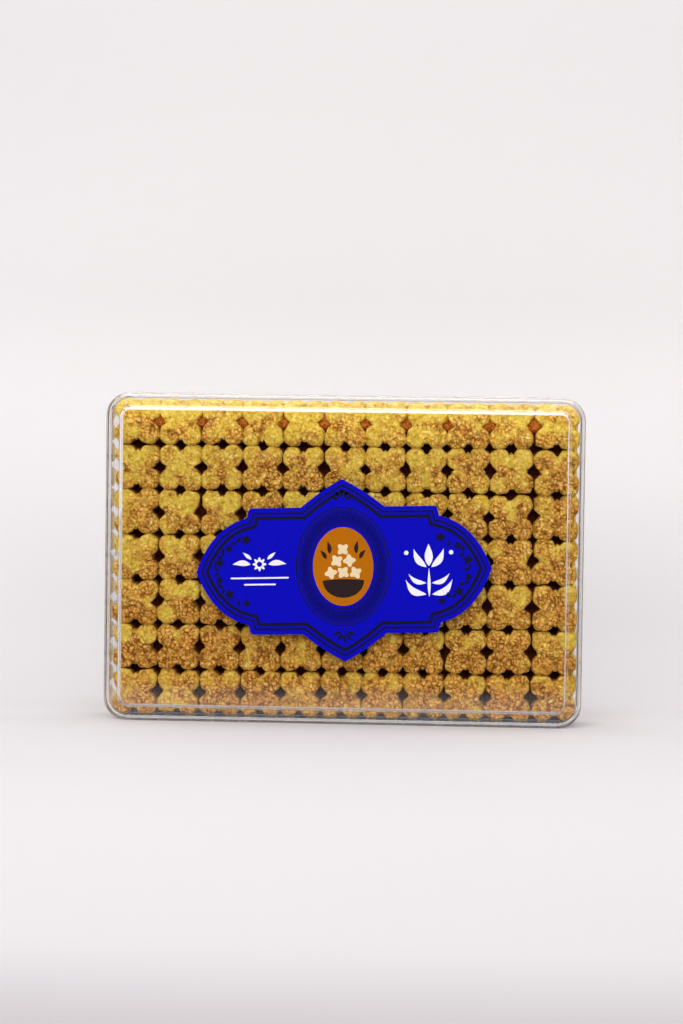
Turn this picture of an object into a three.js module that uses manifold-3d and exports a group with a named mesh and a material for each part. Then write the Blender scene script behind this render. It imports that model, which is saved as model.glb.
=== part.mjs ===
// A shut, clear plastic pack of four-lobed chickpea cookies, standing on its long edge.
// Millimetres, +Z up. X runs along the pack, Z is its height as it stands, and the lid
// faces -Y. The origin is the middle of the footprint.

import * as THREE from "three";
import { mergeVertices } from "three/addons/utils/BufferGeometryUtils.js";
import Module from "manifold-3d";

const wasm = await Module();
wasm.setup();

// Driving dimensions of the pack
const packLength = 236.4;
const packHeight = 162.6;
const packDepth = 42;
const wall = 1.2;
const clearance = 0.3;
const cornerRadius = 11.5;
const midHeight = packHeight / 2;

// The lid's skirt goes over the tub, and the tub's two bands stand out as far as the skirt
const bandProud = wall + clearance;

// Places along Y, from the label in front to the back
const labelThickness = 0.3;
const labelFront = -packDepth / 2;
const panelFront = labelFront + labelThickness + clearance;
const panelRaise = 3;
const lidFront = panelFront + panelRaise;
const lidBack = lidFront + wall;
const skirtEnd = lidFront + 12;
const tubRim = lidBack + clearance;
const stopBand = { front: skirtEnd + clearance, width: 5 };
const footBand = { front: 15.8, width: 4 };
const tubBack = packDepth / 2;
const backEdgeRadius = 1.2;

// The lid's raised panel
const panelLength = 222.6;
const panelHeight = 149.2;
const panelRadius = 5.4;
const panelEdgeRadius = 1.8;
const pocketEdgeRadius = 0.8;

// Short ribs between the tub's two bands
const ribPitch = 24.6;
const ribWidth = 2;
const ribsOnLongSide = 9;
const ribsOnShortSide = 5;

// The cookies: two layers of eleven by seven
const columns = 11;
const rows = 7;
const columnPitch = 20.86;
const rowPitch = 22.29;
const cookieWidth = 20.3;
const cookieHeight = 21.7;
const lobeRadius = 5.9;
const frontLobeTurns = [-70, 0, 70];
const backLobeTurns = [-60, 60];
const sideNotch = 2.2;
const endNotch = 2.3;
const layerGap = 0.5;
const cookiesFront = lidBack + 0.5;
const cookiesBack = tubBack - wall - 0.4;
const cookieDepth = (cookiesBack - cookiesFront - layerGap) / 2;
const coreInset = 4.5;
const coreBite = 4;
const largestTurn = 1.2;
const largestSink = 0.6;

// The label, a pointed cartouche: one quarter of its outline, measured from its middle
const labelTip = { x: 72.8, z: 44.9 };
const archFoot = { x: 20.6, z: 31.2 };
const archBulge = { x: 9, z: 40.6 };
const shoulderEnd = { x: 44.6, z: 31.2 };
const shoulderCorner = { x: 46.6, z: 31.2 };
const shoulderDrop = { x: 46.7, z: 28.8 };
const lobeStart = { x: 47.4, z: 26.3 };
const lobeBulge = [{ x: 57.5, z: 23.9 }, { x: 66.8, z: 16.6 }];
const labelCentre = { x: 0.5, z: midHeight - 4.9 };
const labelTurn = 1.8;
const labelCurveSteps = 6;

const cornerSteps = 6;
const edgeSteps = 3;

function clearPlastic(color) {
  return new THREE.MeshStandardMaterial({
    color,
    roughness: 0.08,
    metalness: 0,
    transparent: true,
    opacity: 0.3,
  });
}

function matt(color, roughness) {
  return new THREE.MeshStandardMaterial({ color, roughness, metalness: 0 });
}

function named(name, geometry, material) {
  const mesh = new THREE.Mesh(geometry, material);
  mesh.name = name;
  return mesh;
}

// A closed geometry as a solid that can be joined and cut
function toSolid(geometry) {
  const bare = geometry.clone();
  bare.deleteAttribute("normal");
  bare.deleteAttribute("uv");
  const merged = mergeVertices(bare, 1e-4);
  return new wasm.Manifold(new wasm.Mesh({
    numProp: 3,
    vertProperties: new Float32Array(merged.attributes.position.array),
    triVerts: new Uint32Array(merged.index.array),
  }));
}

function toGeometry(solid) {
  const mesh = solid.getMesh();
  const geometry = new THREE.BufferGeometry();
  geometry.setAttribute("position", new THREE.BufferAttribute(mesh.vertProperties, 3));
  geometry.setIndex(new THREE.BufferAttribute(mesh.triVerts, 1));
  geometry.computeVertexNormals();
  return geometry;
}

// A shape in X and Z, drawn out along Y from front to back; edge rounds both ends
function prism(shape, front, back, edge = 0) {
  const geometry = new THREE.ExtrudeGeometry(shape, {
    depth: back - front - 2 * edge,
    curveSegments: cornerSteps,
    bevelEnabled: edge > 0,
    bevelThickness: edge,
    bevelSize: edge,
    bevelOffset: -edge,
    bevelSegments: edgeSteps,
  });
  geometry.rotateX(Math.PI / 2);
  geometry.translate(0, back - edge, midHeight);
  return geometry;
}

function roundedRectangle(length, height, radius) {
  const right = length / 2 - radius;
  const top = height / 2 - radius;
  const shape = new THREE.Shape();
  const corners = [[right, top, 0], [-right, top, 1], [-right, -top, 2], [right, -top, 3]];
  for (const [x, z, quarter] of corners) {
    const start = quarter * Math.PI / 2;
    shape.absarc(x, z, radius, start, start + Math.PI / 2, false);
  }
  shape.closePath();
  return shape;
}

function block(length, depth, height, x, y, z) {
  const geometry = new THREE.BoxGeometry(length, depth, height);
  geometry.translate(x, y, z);
  return toSolid(geometry);
}

// The pack's outline, set in by the same amount all round
function outline(inset) {
  return roundedRectangle(packLength - 2 * inset, packHeight - 2 * inset, cornerRadius - inset);
}

function band(place) {
  return toSolid(prism(outline(0), place.front, place.front + place.width));
}

function tubRibs() {
  const front = stopBand.front + stopBand.width / 2;
  const back = footBand.front + footBand.width / 2;
  const depth = back - front;
  const middle = (front + back) / 2;
  const proud = bandProud + wall / 2;
  const ribs = [];
  for (let i = 0; i < ribsOnLongSide; i++) {
    const x = (i - (ribsOnLongSide - 1) / 2) * ribPitch;
    ribs.push(block(ribWidth, depth, proud, x, middle, proud / 2));
    ribs.push(block(ribWidth, depth, proud, x, middle, packHeight - proud / 2));
  }
  for (let i = 0; i < ribsOnShortSide; i++) {
    const z = midHeight + (i - (ribsOnShortSide - 1) / 2) * ribPitch;
    ribs.push(block(proud, depth, ribWidth, packLength / 2 - proud / 2, middle, z));
    ribs.push(block(proud, depth, ribWidth, proud / 2 - packLength / 2, middle, z));
  }
  return ribs;
}

function tub() {
  let solid = toSolid(prism(outline(bandProud), tubRim - backEdgeRadius, tubBack, backEdgeRadius));
  solid = solid.subtract(block(2 * packLength, 2 * backEdgeRadius, 2 * packHeight,
    0, tubRim - backEdgeRadius, midHeight));
  solid = solid.add(band(stopBand)).add(band(footBand));
  for (const rib of tubRibs()) {
    solid = solid.add(rib);
  }
  const hollow = toSolid(prism(outline(bandProud + wall), tubRim - wall, tubBack - wall));
  return toGeometry(solid.subtract(hollow));
}

function lid() {
  const cap = toSolid(prism(outline(0), lidFront, skirtEnd));
  const skirtRoom = toSolid(prism(outline(wall), lidBack, skirtEnd + wall));
  const panelShape = roundedRectangle(panelLength, panelHeight, panelRadius);
  const panel = toSolid(prism(panelShape, panelFront, lidBack + 2 * panelEdgeRadius, panelEdgeRadius));
  const pocketShape = roundedRectangle(panelLength - 2 * wall, panelHeight - 2 * wall, panelRadius - wall);
  const pocket = toSolid(prism(pocketShape, panelFront + wall, lidBack + 2 * wall, pocketEdgeRadius));
  return toGeometry(cap.add(panel).subtract(skirtRoom).subtract(pocket));
}

// A cookie's outline: four round lobes, with a notch in each side between them. turns are
// the places of a lobe's points, in degrees to either side of its corner direction.
function cookieShape(turns) {
  const half = THREE.MathUtils.degToRad(Math.max(...turns));
  const reach = lobeRadius * Math.sin(half + Math.PI / 4);
  const lobeX = cookieWidth / 2 - reach;
  const lobeZ = cookieHeight / 2 - reach;
  const notches = [
    [0, cookieHeight / 2 - endNotch],
    [sideNotch - cookieWidth / 2, 0],
    [0, endNotch - cookieHeight / 2],
    [cookieWidth / 2 - sideNotch, 0],
  ];
  const points = [];
  for (let quarter = 0; quarter < 4; quarter++) {
    const toCorner = (quarter + 0.5) * Math.PI / 2;
    const x = lobeX * Math.sign(Math.cos(toCorner));
    const z = lobeZ * Math.sign(Math.sin(toCorner));
    for (const turn of turns) {
      const direction = toCorner + THREE.MathUtils.degToRad(turn);
      points.push(new THREE.Vector2(
        x + lobeRadius * Math.cos(direction),
        z + lobeRadius * Math.sin(direction),
      ));
    }
    points.push(new THREE.Vector2(...notches[quarter]));
  }
  return new THREE.Shape(points);
}

// An even spread of small differences between -1 and 1, the same every time
function unevenness(index) {
  return 2 * ((index * 0.618034 + 0.31) % 1) - 1;
}

// Both layers, held together by a core that stays behind the notches; the tub's round
// corners trim the lobes that press into them
function cookies() {
  const shapes = [cookieShape(frontLobeTurns), cookieShape(backLobeTurns)];
  const coreLength = columns * columnPitch - 2 * coreInset;
  const coreHeight = rows * rowPitch - 2 * coreInset;
  const coreDepth = 2 * coreBite + layerGap;
  const coreMiddle = cookiesFront + cookieDepth + layerGap / 2;
  let heap = block(coreLength, coreDepth, coreHeight, 0, coreMiddle, midHeight);
  for (const layer of [0, 1]) {
    for (let row = 0; row < rows; row++) {
      for (let column = 0; column < columns; column++) {
        const index = (layer * rows + row) * columns + column;
        const sink = largestSink * Math.abs(unevenness(7 * index + 3));
        const front = cookiesFront + layer * (cookieDepth + layerGap) + (layer === 0 ? sink : 0);
        const back = cookiesFront + cookieDepth + layer * (cookieDepth + layerGap) - (layer === 1 ? sink : 0);
        const cookie = prism(shapes[layer], front, back);
        cookie.translate(0, 0, -midHeight);
        cookie.rotateY(THREE.MathUtils.degToRad(largestTurn * unevenness(index)));
        cookie.translate(
          (column - (columns - 1) / 2) * columnPitch,
          0,
          midHeight + (row - (rows - 1) / 2) * rowPitch,
        );
        heap = heap.add(toSolid(cookie));
      }
    }
  }
  const room = toSolid(prism(outline(bandProud + wall + clearance), cookiesFront - wall, cookiesBack + wall));
  return toGeometry(heap.intersect(room));
}

// One quarter of the label's outline, mirrored by the two signs, from one tip to the next
function labelQuarter(shape, signX, signZ, upwards) {
  const at = (point) => [signX * point.x, signZ * point.z];
  if (upwards) {
    shape.bezierCurveTo(...at(lobeBulge[1]), ...at(lobeBulge[0]), ...at(lobeStart));
    shape.lineTo(...at(shoulderDrop));
    shape.quadraticCurveTo(...at(shoulderCorner), ...at(shoulderEnd));
    shape.lineTo(...at(archFoot));
    shape.quadraticCurveTo(...at(archBulge), ...at({ x: 0, z: labelTip.z }));
  } else {
    shape.quadraticCurveTo(...at(archBulge), ...at(archFoot));
    shape.lineTo(...at(shoulderEnd));
    shape.quadraticCurveTo(...at(shoulderCorner), ...at(shoulderDrop));
    shape.lineTo(...at(lobeStart));
    shape.bezierCurveTo(...at(lobeBulge[0]), ...at(lobeBulge[1]), ...at({ x: labelTip.x, z: 0 }));
  }
}

function label() {
  const shape = new THREE.Shape();
  shape.moveTo(labelTip.x, 0);
  labelQuarter(shape, 1, 1, true);
  labelQuarter(shape, -1, 1, false);
  labelQuarter(shape, -1, -1, true);
  labelQuarter(shape, 1, -1, false);
  const geometry = new THREE.ExtrudeGeometry(shape, {
    depth: labelThickness,
    curveSegments: labelCurveSteps,
    bevelEnabled: false,
  });
  geometry.rotateX(Math.PI / 2);
  return geometry;
}

const pack = new THREE.Group();
pack.add(named("tub", tub(), clearPlastic(0xf2eef0)));
pack.add(named("lid", lid(), clearPlastic(0xf4f0f2)));
pack.add(named("cookies", cookies(), matt(0xc39a4a, 0.9)));

const sticker = named("label", label(), matt(0x0a0ab4, 0.45));
sticker.position.set(labelCentre.x, labelFront + labelThickness, labelCentre.z);
sticker.rotation.y = -THREE.MathUtils.degToRad(labelTurn);
pack.add(sticker);

export default pack;
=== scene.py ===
import math

import bpy
import numpy as np
from mathutils import Matrix, Vector


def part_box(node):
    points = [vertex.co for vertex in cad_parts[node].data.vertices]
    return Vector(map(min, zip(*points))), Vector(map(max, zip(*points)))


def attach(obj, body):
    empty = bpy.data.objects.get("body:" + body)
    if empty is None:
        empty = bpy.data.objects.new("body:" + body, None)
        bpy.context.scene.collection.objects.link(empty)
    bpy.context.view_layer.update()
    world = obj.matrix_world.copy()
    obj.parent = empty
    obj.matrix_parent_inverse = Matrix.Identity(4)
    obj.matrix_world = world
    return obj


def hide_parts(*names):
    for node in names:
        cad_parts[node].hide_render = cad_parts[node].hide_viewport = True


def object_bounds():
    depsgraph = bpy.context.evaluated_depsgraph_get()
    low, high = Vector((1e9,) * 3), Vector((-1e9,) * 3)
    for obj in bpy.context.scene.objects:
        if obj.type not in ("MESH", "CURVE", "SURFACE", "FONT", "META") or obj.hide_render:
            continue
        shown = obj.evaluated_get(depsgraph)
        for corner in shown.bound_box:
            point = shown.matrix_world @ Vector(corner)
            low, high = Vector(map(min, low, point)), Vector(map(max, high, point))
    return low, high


# A shut, clear plastic pack of four-lobed chickpea cookies, standing on its long edge.
# Metres, in the CAD model's frame: X runs along the pack, Z is its height as it stands,
# and the lid faces -Y.
mm = 0.001

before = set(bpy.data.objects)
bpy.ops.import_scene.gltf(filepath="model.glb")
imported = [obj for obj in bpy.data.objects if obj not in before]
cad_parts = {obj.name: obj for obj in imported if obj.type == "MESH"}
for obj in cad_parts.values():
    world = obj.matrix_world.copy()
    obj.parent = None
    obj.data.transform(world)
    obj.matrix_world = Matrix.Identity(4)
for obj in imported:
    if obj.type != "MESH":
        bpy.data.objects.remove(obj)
cad_low, cad_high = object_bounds()
lid_low, lid_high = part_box("lid")
tub_low, tub_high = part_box("tub")
heap_low, heap_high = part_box("cookies")
label_low, label_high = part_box("label")

mid_height = (cad_low.z + cad_high.z) / 2

# Plastic
wall = 1.2 * mm
clearance = 0.3 * mm
band_proud = wall + clearance
panel_raise = 3 * mm
panel_length = 222.6 * mm
panel_height = 149.2 * mm
panel_radius = 5.4 * mm
pack_radius = 11.5 * mm
stop_band_width = 5 * mm
foot_band_front = 15.8 * mm
foot_band_width = 4 * mm
corner_steps = 14
edge_steps = 8
support = 0.05 * mm
rib_pitch = 24.6 * mm
rib_width = 2 * mm
ribs_on_long_side = 9
ribs_on_short_side = 5

# Cookies
columns = 11
rows = 7
cookie_length = 20.86 * mm
column_width = 20.3 * mm
row_pitch = 22.29 * mm
layer_gap = 0.5 * mm
lobe_radius = 5.45 * mm
lobe_place = (5.05 * mm, 5.75 * mm)
notch_place = (7.55 * mm, 8.1 * mm)
notch_flat = 0.75 * mm
face_edge = 1.8 * mm
face_clearance = 0.1 * mm
crumb_size = 1.95 * mm
core_inset = 2.5 * mm
core_edge = 0.2 * mm
core_thickness = 8.5 * mm
core_crumb_size = 1.9 * mm
core_steps = (150, 105)
# For each layer: steps across a face, down sides inside the heap, and down sides that show
cookie_steps = ((52, 4, 9), (30, 3, 7))

# Floor, wall and the veil under the pack
floor_near = -1.9
floor_end = 0.10
wall_sweep = 0.22
wall_top = 1.6
stage_half_width = 0.9
veil_end = -0.25
veil_start = -0.13

# Label. Its printed shapes have their places in millimetres from its middle.
label_middle = (0.5 * mm, mid_height - 4.9 * mm)
label_turn = math.radians(1.8)
label_face = label_high.y
ink_thickness = 0.02 * mm
medallion_x, medallion_z = medallion = (-0.2, 1.9)
rosette_x, rosette_z = rosette = (-41.5, 3.6)
tulip_x = 42


class Value:
    """A socket's value in a node tree. Sums and products of values are Math nodes."""

    def __init__(self, tree, socket):
        self.tree = tree
        self.socket = socket

    def math(self, operation, first, second):
        node = self.tree.nodes.new("ShaderNodeMath")
        node.operation = operation
        feed(self.tree, node.inputs[0], first)
        feed(self.tree, node.inputs[1], second)
        return Value(self.tree, node.outputs[0])

    def __add__(self, other):
        return self.math("ADD", self, other)

    def __sub__(self, other):
        return self.math("SUBTRACT", self, other)

    def __rsub__(self, other):
        return self.math("SUBTRACT", other, self)

    def __mul__(self, other):
        return self.math("MULTIPLY", self, other)

    __radd__ = __add__
    __rmul__ = __mul__

    def between(self, low, high):
        """0 below low and 1 above high, smooth between them."""
        node = self.tree.nodes.new("ShaderNodeMapRange")
        node.interpolation_type = "SMOOTHSTEP"
        feed(self.tree, node.inputs["Value"], self)
        feed(self.tree, node.inputs["From Min"], low)
        feed(self.tree, node.inputs["From Max"], high)
        return Value(self.tree, node.outputs["Result"])


def feed(tree, place, value):
    """Links a value to a socket, or sets the socket to a constant."""
    if isinstance(value, Value):
        tree.links.new(value.socket, place)
    elif place.type == "RGBA" and len(value) == 3:
        place.default_value = (*value, 1)
    else:
        place.default_value = value


class Finish:
    """A material's node tree, and the nodes that go into it."""

    def __init__(self, name):
        self.material = bpy.data.materials.new(name)
        self.material.use_nodes = True
        self.tree = self.material.node_tree
        self.tree.nodes.clear()

    def node(self, kind, settings=None, sockets=None, output=0):
        node = self.tree.nodes.new(kind)
        for name, value in (settings or {}).items():
            setattr(node, name, value)
        for name, value in (sockets or {}).items():
            feed(self.tree, node.inputs[name], value)
        return Value(self.tree, node.outputs[output])

    def places(self, *axes):
        parts = self.node("ShaderNodeSeparateXYZ", sockets={"Vector": self.place()}).socket.node
        return [Value(self.tree, parts.outputs[axis]) for axis in axes]

    def place(self):
        return self.node("ShaderNodeTexCoord", output="Object")

    def noise(self, scale, detail=3, roughness=0.5):
        sockets = {"Vector": self.place(), "Scale": scale, "Detail": detail, "Roughness": roughness}
        return self.node("ShaderNodeTexNoise", sockets=sockets)

    def stored(self, name, output="Fac"):
        """What a mesh's points carry under that name."""
        return self.node("ShaderNodeAttribute", {"attribute_name": name}, output=output)

    def mix(self, factor, first, second, blend="MIX"):
        node = self.tree.nodes.new("ShaderNodeMix")
        node.data_type = "RGBA"
        node.blend_type = blend
        feed(self.tree, node.inputs["Factor"], factor)
        feed(self.tree, node.inputs[6], first)
        feed(self.tree, node.inputs[7], second)
        return Value(self.tree, node.outputs[2])

    def bump(self, height, distance, strength=1.0):
        sockets = {"Height": height, "Distance": distance, "Strength": strength}
        return self.node("ShaderNodeBump", sockets=sockets)

    def principled(self, **sockets):
        named = {name.replace("_", " "): value for name, value in sockets.items()}
        return self.node("ShaderNodeBsdfPrincipled", sockets=named)

    def finish(self, surface):
        output = self.tree.nodes.new("ShaderNodeOutputMaterial")
        feed(self.tree, output.inputs["Surface"], surface)
        return self.material


def colour(red, green, blue):
    """An sRGB colour, 0 to 255, as the linear values that shaders take."""
    shares = [c / 255 for c in (red, green, blue)]
    return tuple(c / 12.92 if c <= 0.04045 else ((c + 0.055) / 1.055) ** 2.4 for c in shares)


# Materials
def clear_plastic(name, tint):
    """Moulded clear plastic. Light falls straight through it on to what it holds."""
    finish = Finish(name)
    flow = finish.noise(28, detail=2)
    handled = finish.noise(140, detail=4).between(0.45, 0.8)
    glass = finish.principled(
        Base_Color=tint,
        Roughness=0.012 + 0.035 * handled,
        IOR=1.49,
        Transmission_Weight=1.0,
        Normal=finish.bump(flow, 0.00005, 0.35),
    )
    path = finish.node("ShaderNodeLightPath").socket.node
    shadow_ray = Value(finish.tree, path.outputs["Is Shadow Ray"])
    diffuse_ray = Value(finish.tree, path.outputs["Is Diffuse Ray"])
    passed = finish.node("ShaderNodeBsdfTransparent", sockets={"Color": (0.975, 0.972, 0.975)})
    for_diffuse = mix_shaders(finish, diffuse_ray, glass, passed)
    return finish.finish(mix_shaders(finish, shadow_ray, for_diffuse, passed))


def mix_shaders(finish, factor, first, second):
    node = finish.tree.nodes.new("ShaderNodeMixShader")
    feed(finish.tree, node.inputs[0], factor)
    feed(finish.tree, node.inputs[1], first)
    feed(finish.tree, node.inputs[2], second)
    return Value(finish.tree, node.outputs[0])


def cookie_finish():
    """Smooth yellow dough with patches of browned crumbs, with painted shade down the sides, at
    the rims and in cracks and pits, a painted highlight on each crumb, and painted light and a
    painted haze under the pack's top."""
    finish = Finish("cookie")
    crumb = finish.stored("crumb", "Color")
    parts = finish.node("ShaderNodeSeparateColor", sockets={"Color": crumb}).socket.node
    # Each crumb's tone, with a painted highlight towards its middle.
    tone = Value(finish.tree, parts.outputs[0])
    crevice = Value(finish.tree, parts.outputs[1])
    patch = Value(finish.tree, parts.outputs[2])
    painted_light_and_shade = finish.stored("painted_light_and_shade")
    baked = finish.stored("baked")
    painted_top_light = finish.stored("painted_top_light")
    grain = finish.noise(900, detail=4, roughness=0.65)
    blotch = finish.noise(330, detail=4, roughness=0.6)
    pits = finish.noise(820, detail=2).between(0.55, 0.66)
    fine = grain.between(0.3, 0.72)
    broad = blotch.between(0.3, 0.7)
    lift = 0.45 * fine + 0.3 * broad + 0.25 * tone
    dough = finish.mix(lift.between(0.1, 0.5), colour(166, 119, 28), colour(206, 178, 64))
    dough = finish.mix(lift.between(0.5, 0.95), dough, colour(238, 220, 110))
    crumb_lift = 0.4 * fine + 0.25 * broad + 0.35 * tone
    crumbs = finish.mix(crumb_lift.between(0.1, 0.55), colour(154, 88, 12), colour(232, 178, 76))
    crumbs = finish.mix(crumb_lift.between(0.5, 0.9), crumbs, colour(250, 226, 136))
    crumbs = finish.mix(baked * 0.42, crumbs, colour(214, 137, 62))
    surface = finish.mix(patch, dough, crumbs)
    # Painted shade in the cracks between crumbs.
    surface = finish.mix(crevice * (0.06 + 0.84 * patch), surface, colour(102, 48, 2))
    # Painted shade in pits.
    surface = finish.mix(pits * (0.06 + 0.6 * patch), surface, colour(112, 58, 6))
    # Painted light: the top rows made brighter.
    surface = finish.mix(painted_top_light, surface, surface, "ADD")
    # A pale painted haze of reflection at the top of the top row's faces.
    pale = (0.1 + 0.6 * grain) * (1 - 0.8 * crevice) * painted_top_light.between(0.27, 0.34)
    surface = finish.mix(pale, surface, colour(255, 242, 172))
    # Painted shade down the cookies' sides and at the rims of their faces, inside the heap.
    surface = finish.mix(painted_light_and_shade, surface, colour(160, 76, 14))
    height = grain * (0.3 + 0.5 * patch) - 0.5 * patch * crevice - 0.4 * patch * pits
    return finish.finish(finish.principled(
        Base_Color=surface,
        Roughness=0.72 + 0.2 * grain,
        Specular_IOR_Level=0.08,
        Normal=finish.bump(height, 0.0006, 0.9),
    ))


def print_finish(name, ink):
    """Printed label stock: an even ink, with a faint mottle and paper grain."""
    finish = Finish(name)
    mottle = finish.noise(500, detail=3)
    deeper = tuple(0.86 * c for c in ink)
    grain = finish.noise(2600, detail=2)
    return finish.finish(finish.principled(
        Base_Color=finish.mix(mottle, ink, deeper),
        Roughness=0.55 + 0.12 * mottle,
        Specular_IOR_Level=0.03,
        Normal=finish.bump(grain, 0.00002, 0.4),
    ))


def paper_floor():
    """Pale paper with painted shade far ahead of the pack and painted light up the sweep and wall,
    that doesn't show from behind.
    """
    finish = Finish("paper_floor")
    cloud = finish.noise(2.2, detail=2)
    ahead, height = finish.places("Y", "Z")
    paper = finish.mix(cloud, colour(201, 198, 200), colour(197, 194, 196))
    # Painted shade far ahead of the pack.
    paper = finish.mix(ahead.between(-0.6, -0.76), paper, colour(176, 170, 173))
    # Painted light up the sweep and wall, a little less of it higher up the wall.
    paper = finish.mix(height.between(0.02, 0.2), paper, colour(220, 217, 218))
    sheet = finish.principled(
        Base_Color=finish.mix(height.between(0.22, 0.42), paper, colour(209, 206, 207)),
        Roughness=0.85,
        Specular_IOR_Level=0.1,
    )
    seen_from_behind = finish.node("ShaderNodeNewGeometry", output="Backfacing")
    nothing = finish.node("ShaderNodeBsdfTransparent")
    return finish.finish(mix_shaders(finish, seen_from_behind, sheet, nothing))


def veil_finish():
    """The floor as the lid reflects it: pale under the pack, fading out ahead of it."""
    finish = Finish("floor_veil")
    ahead, = finish.places("Y")
    dark = colour(12, 10, 10)
    pale = colour(208, 205, 207)
    return finish.finish(finish.principled(
        Base_Color=finish.mix(ahead.between(veil_end, veil_start), dark, pale),
        Roughness=0.9,
        Specular_IOR_Level=0.0,
    ))


# Meshes
def placed(name, data):
    """A new object in the scene for a mesh, curve, camera or light."""
    made = bpy.data.objects.new(name, data)
    bpy.context.scene.collection.objects.link(made)
    return made


def smooth_mesh(name, vertices, faces, material):
    mesh = bpy.data.meshes.new(name)
    mesh.from_pydata([tuple(v) for v in vertices], [], [tuple(f) for f in faces])
    mesh.polygons.foreach_set("use_smooth", [True] * len(mesh.polygons))
    mesh.materials.append(material)
    return placed(name, mesh)


def piece(name, vertices, faces, material, node):
    """A mesh that rides on the pack and stands for a CAD node."""
    made = smooth_mesh(name, vertices, faces, material)
    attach(made, "root")
    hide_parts(node)
    return made


class Outline:
    """A rounded rectangle round the pack's middle, in X and Z, that can be set in."""

    def __init__(self, length, height, radius):
        self.half_length = length / 2
        self.half_height = height / 2
        self.radius = radius

    def ring(self, inset, y):
        radius = max(self.radius - inset, 0.2 * mm)
        across = self.half_length - inset - radius
        up = self.half_height - inset - radius
        points = []
        for quarter, (side, top) in enumerate([(1, 1), (-1, 1), (-1, -1), (1, -1)]):
            turns = (quarter + np.linspace(0, 1, corner_steps + 1)) * math.pi / 2
            x = side * across + radius * np.cos(turns)
            z = mid_height + top * up + radius * np.sin(turns)
            points.append(np.stack([x, np.full_like(x, y), z], 1))
        return np.concatenate(points)


def rounded_section(corners):
    """Rings along a cross-section. A corner is its outline, inset, Y and rounding radius,
    and neighbouring corners lie straight across or straight behind one another."""
    places = [np.array([outline.half_length - inset, y]) for outline, inset, y, radius in corners]
    rings = []
    for i, (outline, inset, y, radius) in enumerate(corners):
        if radius == 0:
            rings.append(outline.ring(inset, y))
            continue
        back = places[i - 1] - places[i]
        ahead = places[i + 1] - places[i]
        back /= np.linalg.norm(back)
        ahead /= np.linalg.norm(ahead)
        centre = places[i] + radius * (back + ahead)
        section = [places[i] + (radius + support) * back]
        for turn in np.linspace(0, math.pi / 2, edge_steps + 1):
            section.append(centre - radius * (math.cos(turn) * ahead + math.sin(turn) * back))
        section.append(places[i] + (radius + support) * ahead)
        rings += [outline.ring(outline.half_length - x, y) for x, y in section]
    return rings


def loft(rings):
    """A closed surface through the rings, with its first and last ring filled."""
    count = len(rings[0])
    vertices = np.concatenate(rings)
    faces = [list(range(count))]
    for here in range(0, len(vertices) - count, count):
        there = here + count
        for j in range(count):
            after = (j + 1) % count
            faces.append([here + after, here + j, there + j, there + after])
    faces.append(list(range(len(vertices) - count, len(vertices)))[::-1])
    return vertices, faces


pack_outline = Outline(cad_high.x - cad_low.x, cad_high.z - cad_low.z, pack_radius)
panel_outline = Outline(panel_length, panel_height, panel_radius)


def make_lid(plastic):
    front = lid_low.y
    ring_front = front + panel_raise
    ring_back = ring_front + wall
    skirt_end = lid_high.y
    section = [
        (panel_outline, 20 * mm, front, 0),
        (panel_outline, 0, front, 1.8 * mm),
        (panel_outline, 0, ring_front, 0.5 * mm),
        (pack_outline, 0, ring_front, 0.45 * mm),
        (pack_outline, 0, skirt_end, 0.3 * mm),
        (pack_outline, wall, skirt_end, 0.3 * mm),
        (pack_outline, wall, ring_back, 0.5 * mm),
        (panel_outline, wall, ring_back, 0.4 * mm),
        (panel_outline, wall, front + wall, 0.8 * mm),
        (panel_outline, 20 * mm, front + wall, 0),
    ]
    vertices, faces = loft(rounded_section(section))
    return piece("lid_shell", vertices, faces, plastic, "lid")


def make_tub(plastic):
    rim = tub_low.y
    back = tub_high.y
    stop_front = lid_high.y + clearance
    stop_back = stop_front + stop_band_width
    foot_back = foot_band_front + foot_band_width
    inner = band_proud + wall
    section = [
        (pack_outline, 20 * mm, back - wall, 0),
        (pack_outline, inner, back - wall, 0.8 * mm),
        (pack_outline, inner, rim, 0.4 * mm),
        (pack_outline, band_proud, rim, 0.4 * mm),
        (pack_outline, band_proud, stop_front, 0.4 * mm),
        (pack_outline, 0, stop_front, 0.5 * mm),
        (pack_outline, 0, stop_back, 0.5 * mm),
        (pack_outline, band_proud, stop_back, 0.4 * mm),
        (pack_outline, band_proud, foot_band_front, 0.4 * mm),
        (pack_outline, 0, foot_band_front, 0.5 * mm),
        (pack_outline, 0, foot_back, 0.5 * mm),
        (pack_outline, band_proud, foot_back, 0.2 * mm),
        (pack_outline, band_proud, back, 0.9 * mm),
        (pack_outline, 20 * mm, back, 0),
    ]
    vertices, faces = loft(rounded_section(section))
    return piece("tub_shell", vertices, faces, plastic, "tub")


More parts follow.
